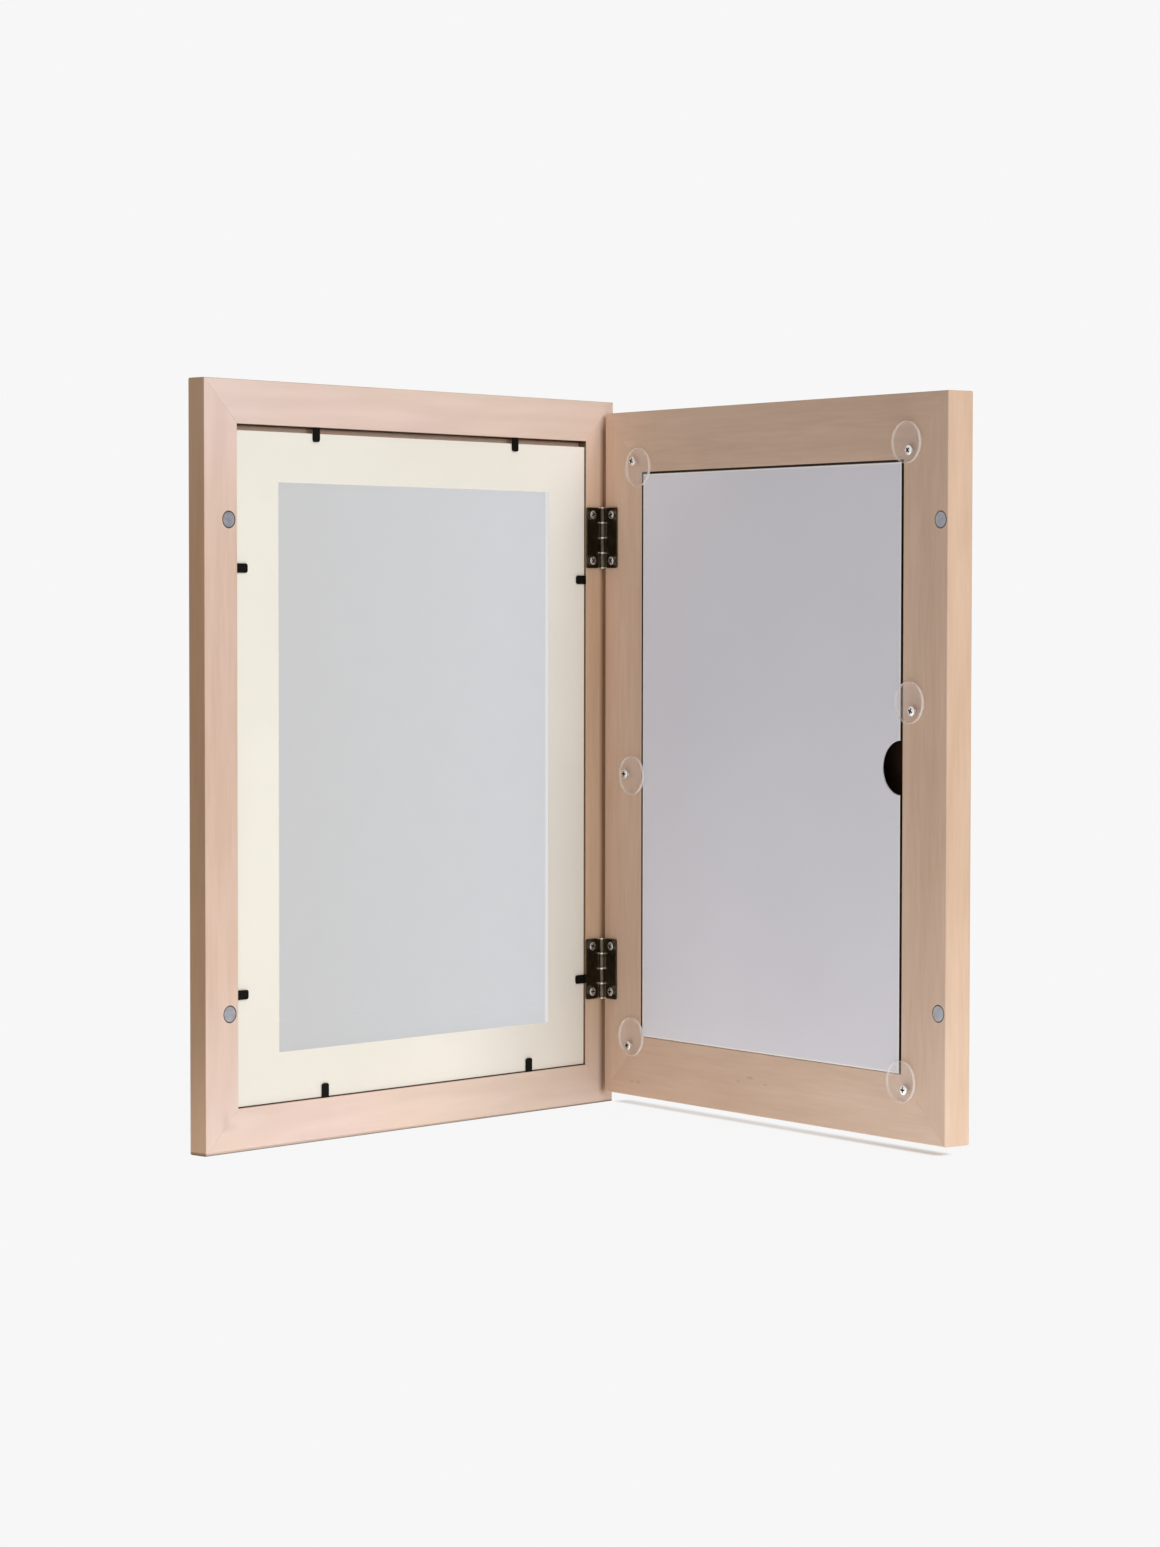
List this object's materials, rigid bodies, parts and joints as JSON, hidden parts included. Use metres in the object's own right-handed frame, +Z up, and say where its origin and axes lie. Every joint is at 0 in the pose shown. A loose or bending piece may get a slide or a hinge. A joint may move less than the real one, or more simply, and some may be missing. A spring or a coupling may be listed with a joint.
{
  "type": "childrens art frame",
  "caption": "Front opening wooden frame whose glazed, matted door swings on butt hinges over a shallow box for stored drawings, closed by a loose panel under clear turn buttons.",
  "frame": {"origin": "middle of the back of the box, in the plane that lies against the wall", "axes": "+Z up the box, +Y out of its back toward the wall, -Y out of its face toward the door, +X from the hinge side of the box to its free side"},
  "size_m": [0.2964, 0.3067, 0.385],
  "materials": {
    "door_wood": "pale straight grained wood, thin matt lacquer",
    "box_wood": "pale straight grained wood with small knots, thin matt lacquer",
    "back_board": "smooth brown fibreboard",
    "panel": "thin light grey sheet, smooth and matt",
    "button": "clear, polished, with a bright edge",
    "pane": "clear flat sheet",
    "mat": "cream window mat with a white core",
    "tab": "black, half gloss",
    "magnet": "satin nickel plate",
    "hinge": "dark polished plate",
    "screw": "bright zinc plate",
    "hanger": "zinc plate"
  },
  "bodies": {
    "storage_box": {"box_stile_hinge": "box_wood", "box_rail_top": "box_wood", "box_stile_free": "box_wood", "box_rail_bottom": "box_wood", "display_panel": "panel", "back_panel": "back_board", "button_screw_hinge_top": "screw", "button_screw_hinge_bottom": "screw", "button_screw_free_top": "screw", "button_screw_free_bottom": "screw", "button_screw_hinge_middle": "screw", "button_screw_free_middle": "screw", "box_magnet_upper": "magnet", "box_magnet_lower": "magnet", "hinge_leaf_box_upper": "hinge", "hinge_leaf_box_lower": "hinge", "hinge_pin_upper": "hinge", "hinge_pin_lower": "hinge", "hinge_screw_box_upper_top": "screw", "hinge_screw_box_upper_bottom": "screw", "hinge_screw_box_lower_top": "screw", "hinge_screw_box_lower_bottom": "screw", "hanger_plate_top": "hanger", "hanger_plate_side": "hanger", "hanger_screw_top_first": "screw", "hanger_screw_top_second": "screw", "hanger_screw_side_first": "screw", "hanger_screw_side_second": "screw"},
    "door": {"door_stile_hinge": "door_wood", "door_rail_top": "door_wood", "door_stile_free": "door_wood", "door_rail_bottom": "door_wood", "door_pane": "pane", "mat_board": "mat", "retaining_tab_top_first": "tab", "retaining_tab_top_second": "tab", "retaining_tab_bottom_first": "tab", "retaining_tab_bottom_second": "tab", "retaining_tab_hinge_first": "tab", "retaining_tab_hinge_second": "tab", "retaining_tab_free_first": "tab", "retaining_tab_free_second": "tab", "door_magnet_upper": "magnet", "door_magnet_lower": "magnet", "hinge_leaf_door_upper": "hinge", "hinge_leaf_door_lower": "hinge", "hinge_screw_door_upper_top": "screw", "hinge_screw_door_upper_bottom": "screw", "hinge_screw_door_lower_top": "screw", "hinge_screw_door_lower_bottom": "screw"},
    "turn_button_hinge_top": {"turn_button_hinge_top": "button"},
    "turn_button_hinge_bottom": {"turn_button_hinge_bottom": "button"},
    "turn_button_free_top": {"turn_button_free_top": "button"},
    "turn_button_free_bottom": {"turn_button_free_bottom": "button"},
    "turn_button_hinge_middle": {"turn_button_hinge_middle": "button"},
    "turn_button_free_middle": {"turn_button_free_middle": "button"}
  },
  "joints": [
    {"name": "door_hinge", "type": "hinge", "parent": "storage_box", "child": "door", "pos_m": [-0.14, -0.019, 0], "axis": [0, 0, -1], "range_deg": [-78.6, 18.4]},
    {"name": "button_turn_hinge_top", "type": "hinge", "parent": "storage_box", "child": "turn_button_hinge_top", "pos_m": [-0.11294, -0.017, 0.1591], "axis": [0, -1, 0], "continuous": true},
    {"name": "button_turn_hinge_bottom", "type": "hinge", "parent": "storage_box", "child": "turn_button_hinge_bottom", "pos_m": [-0.11591, -0.017, -0.15845], "axis": [0, -1, 0], "continuous": true},
    {"name": "button_turn_free_top", "type": "hinge", "parent": "storage_box", "child": "turn_button_free_top", "pos_m": [0.11327, -0.017, 0.15752], "axis": [0, -1, 0], "continuous": true},
    {"name": "button_turn_free_bottom", "type": "hinge", "parent": "storage_box", "child": "turn_button_free_bottom", "pos_m": [0.11169, -0.017, -0.16019], "axis": [0, -1, 0], "continuous": true},
    {"name": "button_turn_hinge_middle", "type": "hinge", "parent": "storage_box", "child": "turn_button_hinge_middle", "pos_m": [-0.11921, -0.017, -0.0104], "axis": [0, -1, 0], "continuous": true},
    {"name": "button_turn_free_middle", "type": "hinge", "parent": "storage_box", "child": "turn_button_free_middle", "pos_m": [0.11611, -0.017, 0.02846], "axis": [0, -1, 0], "continuous": true}
  ]
}
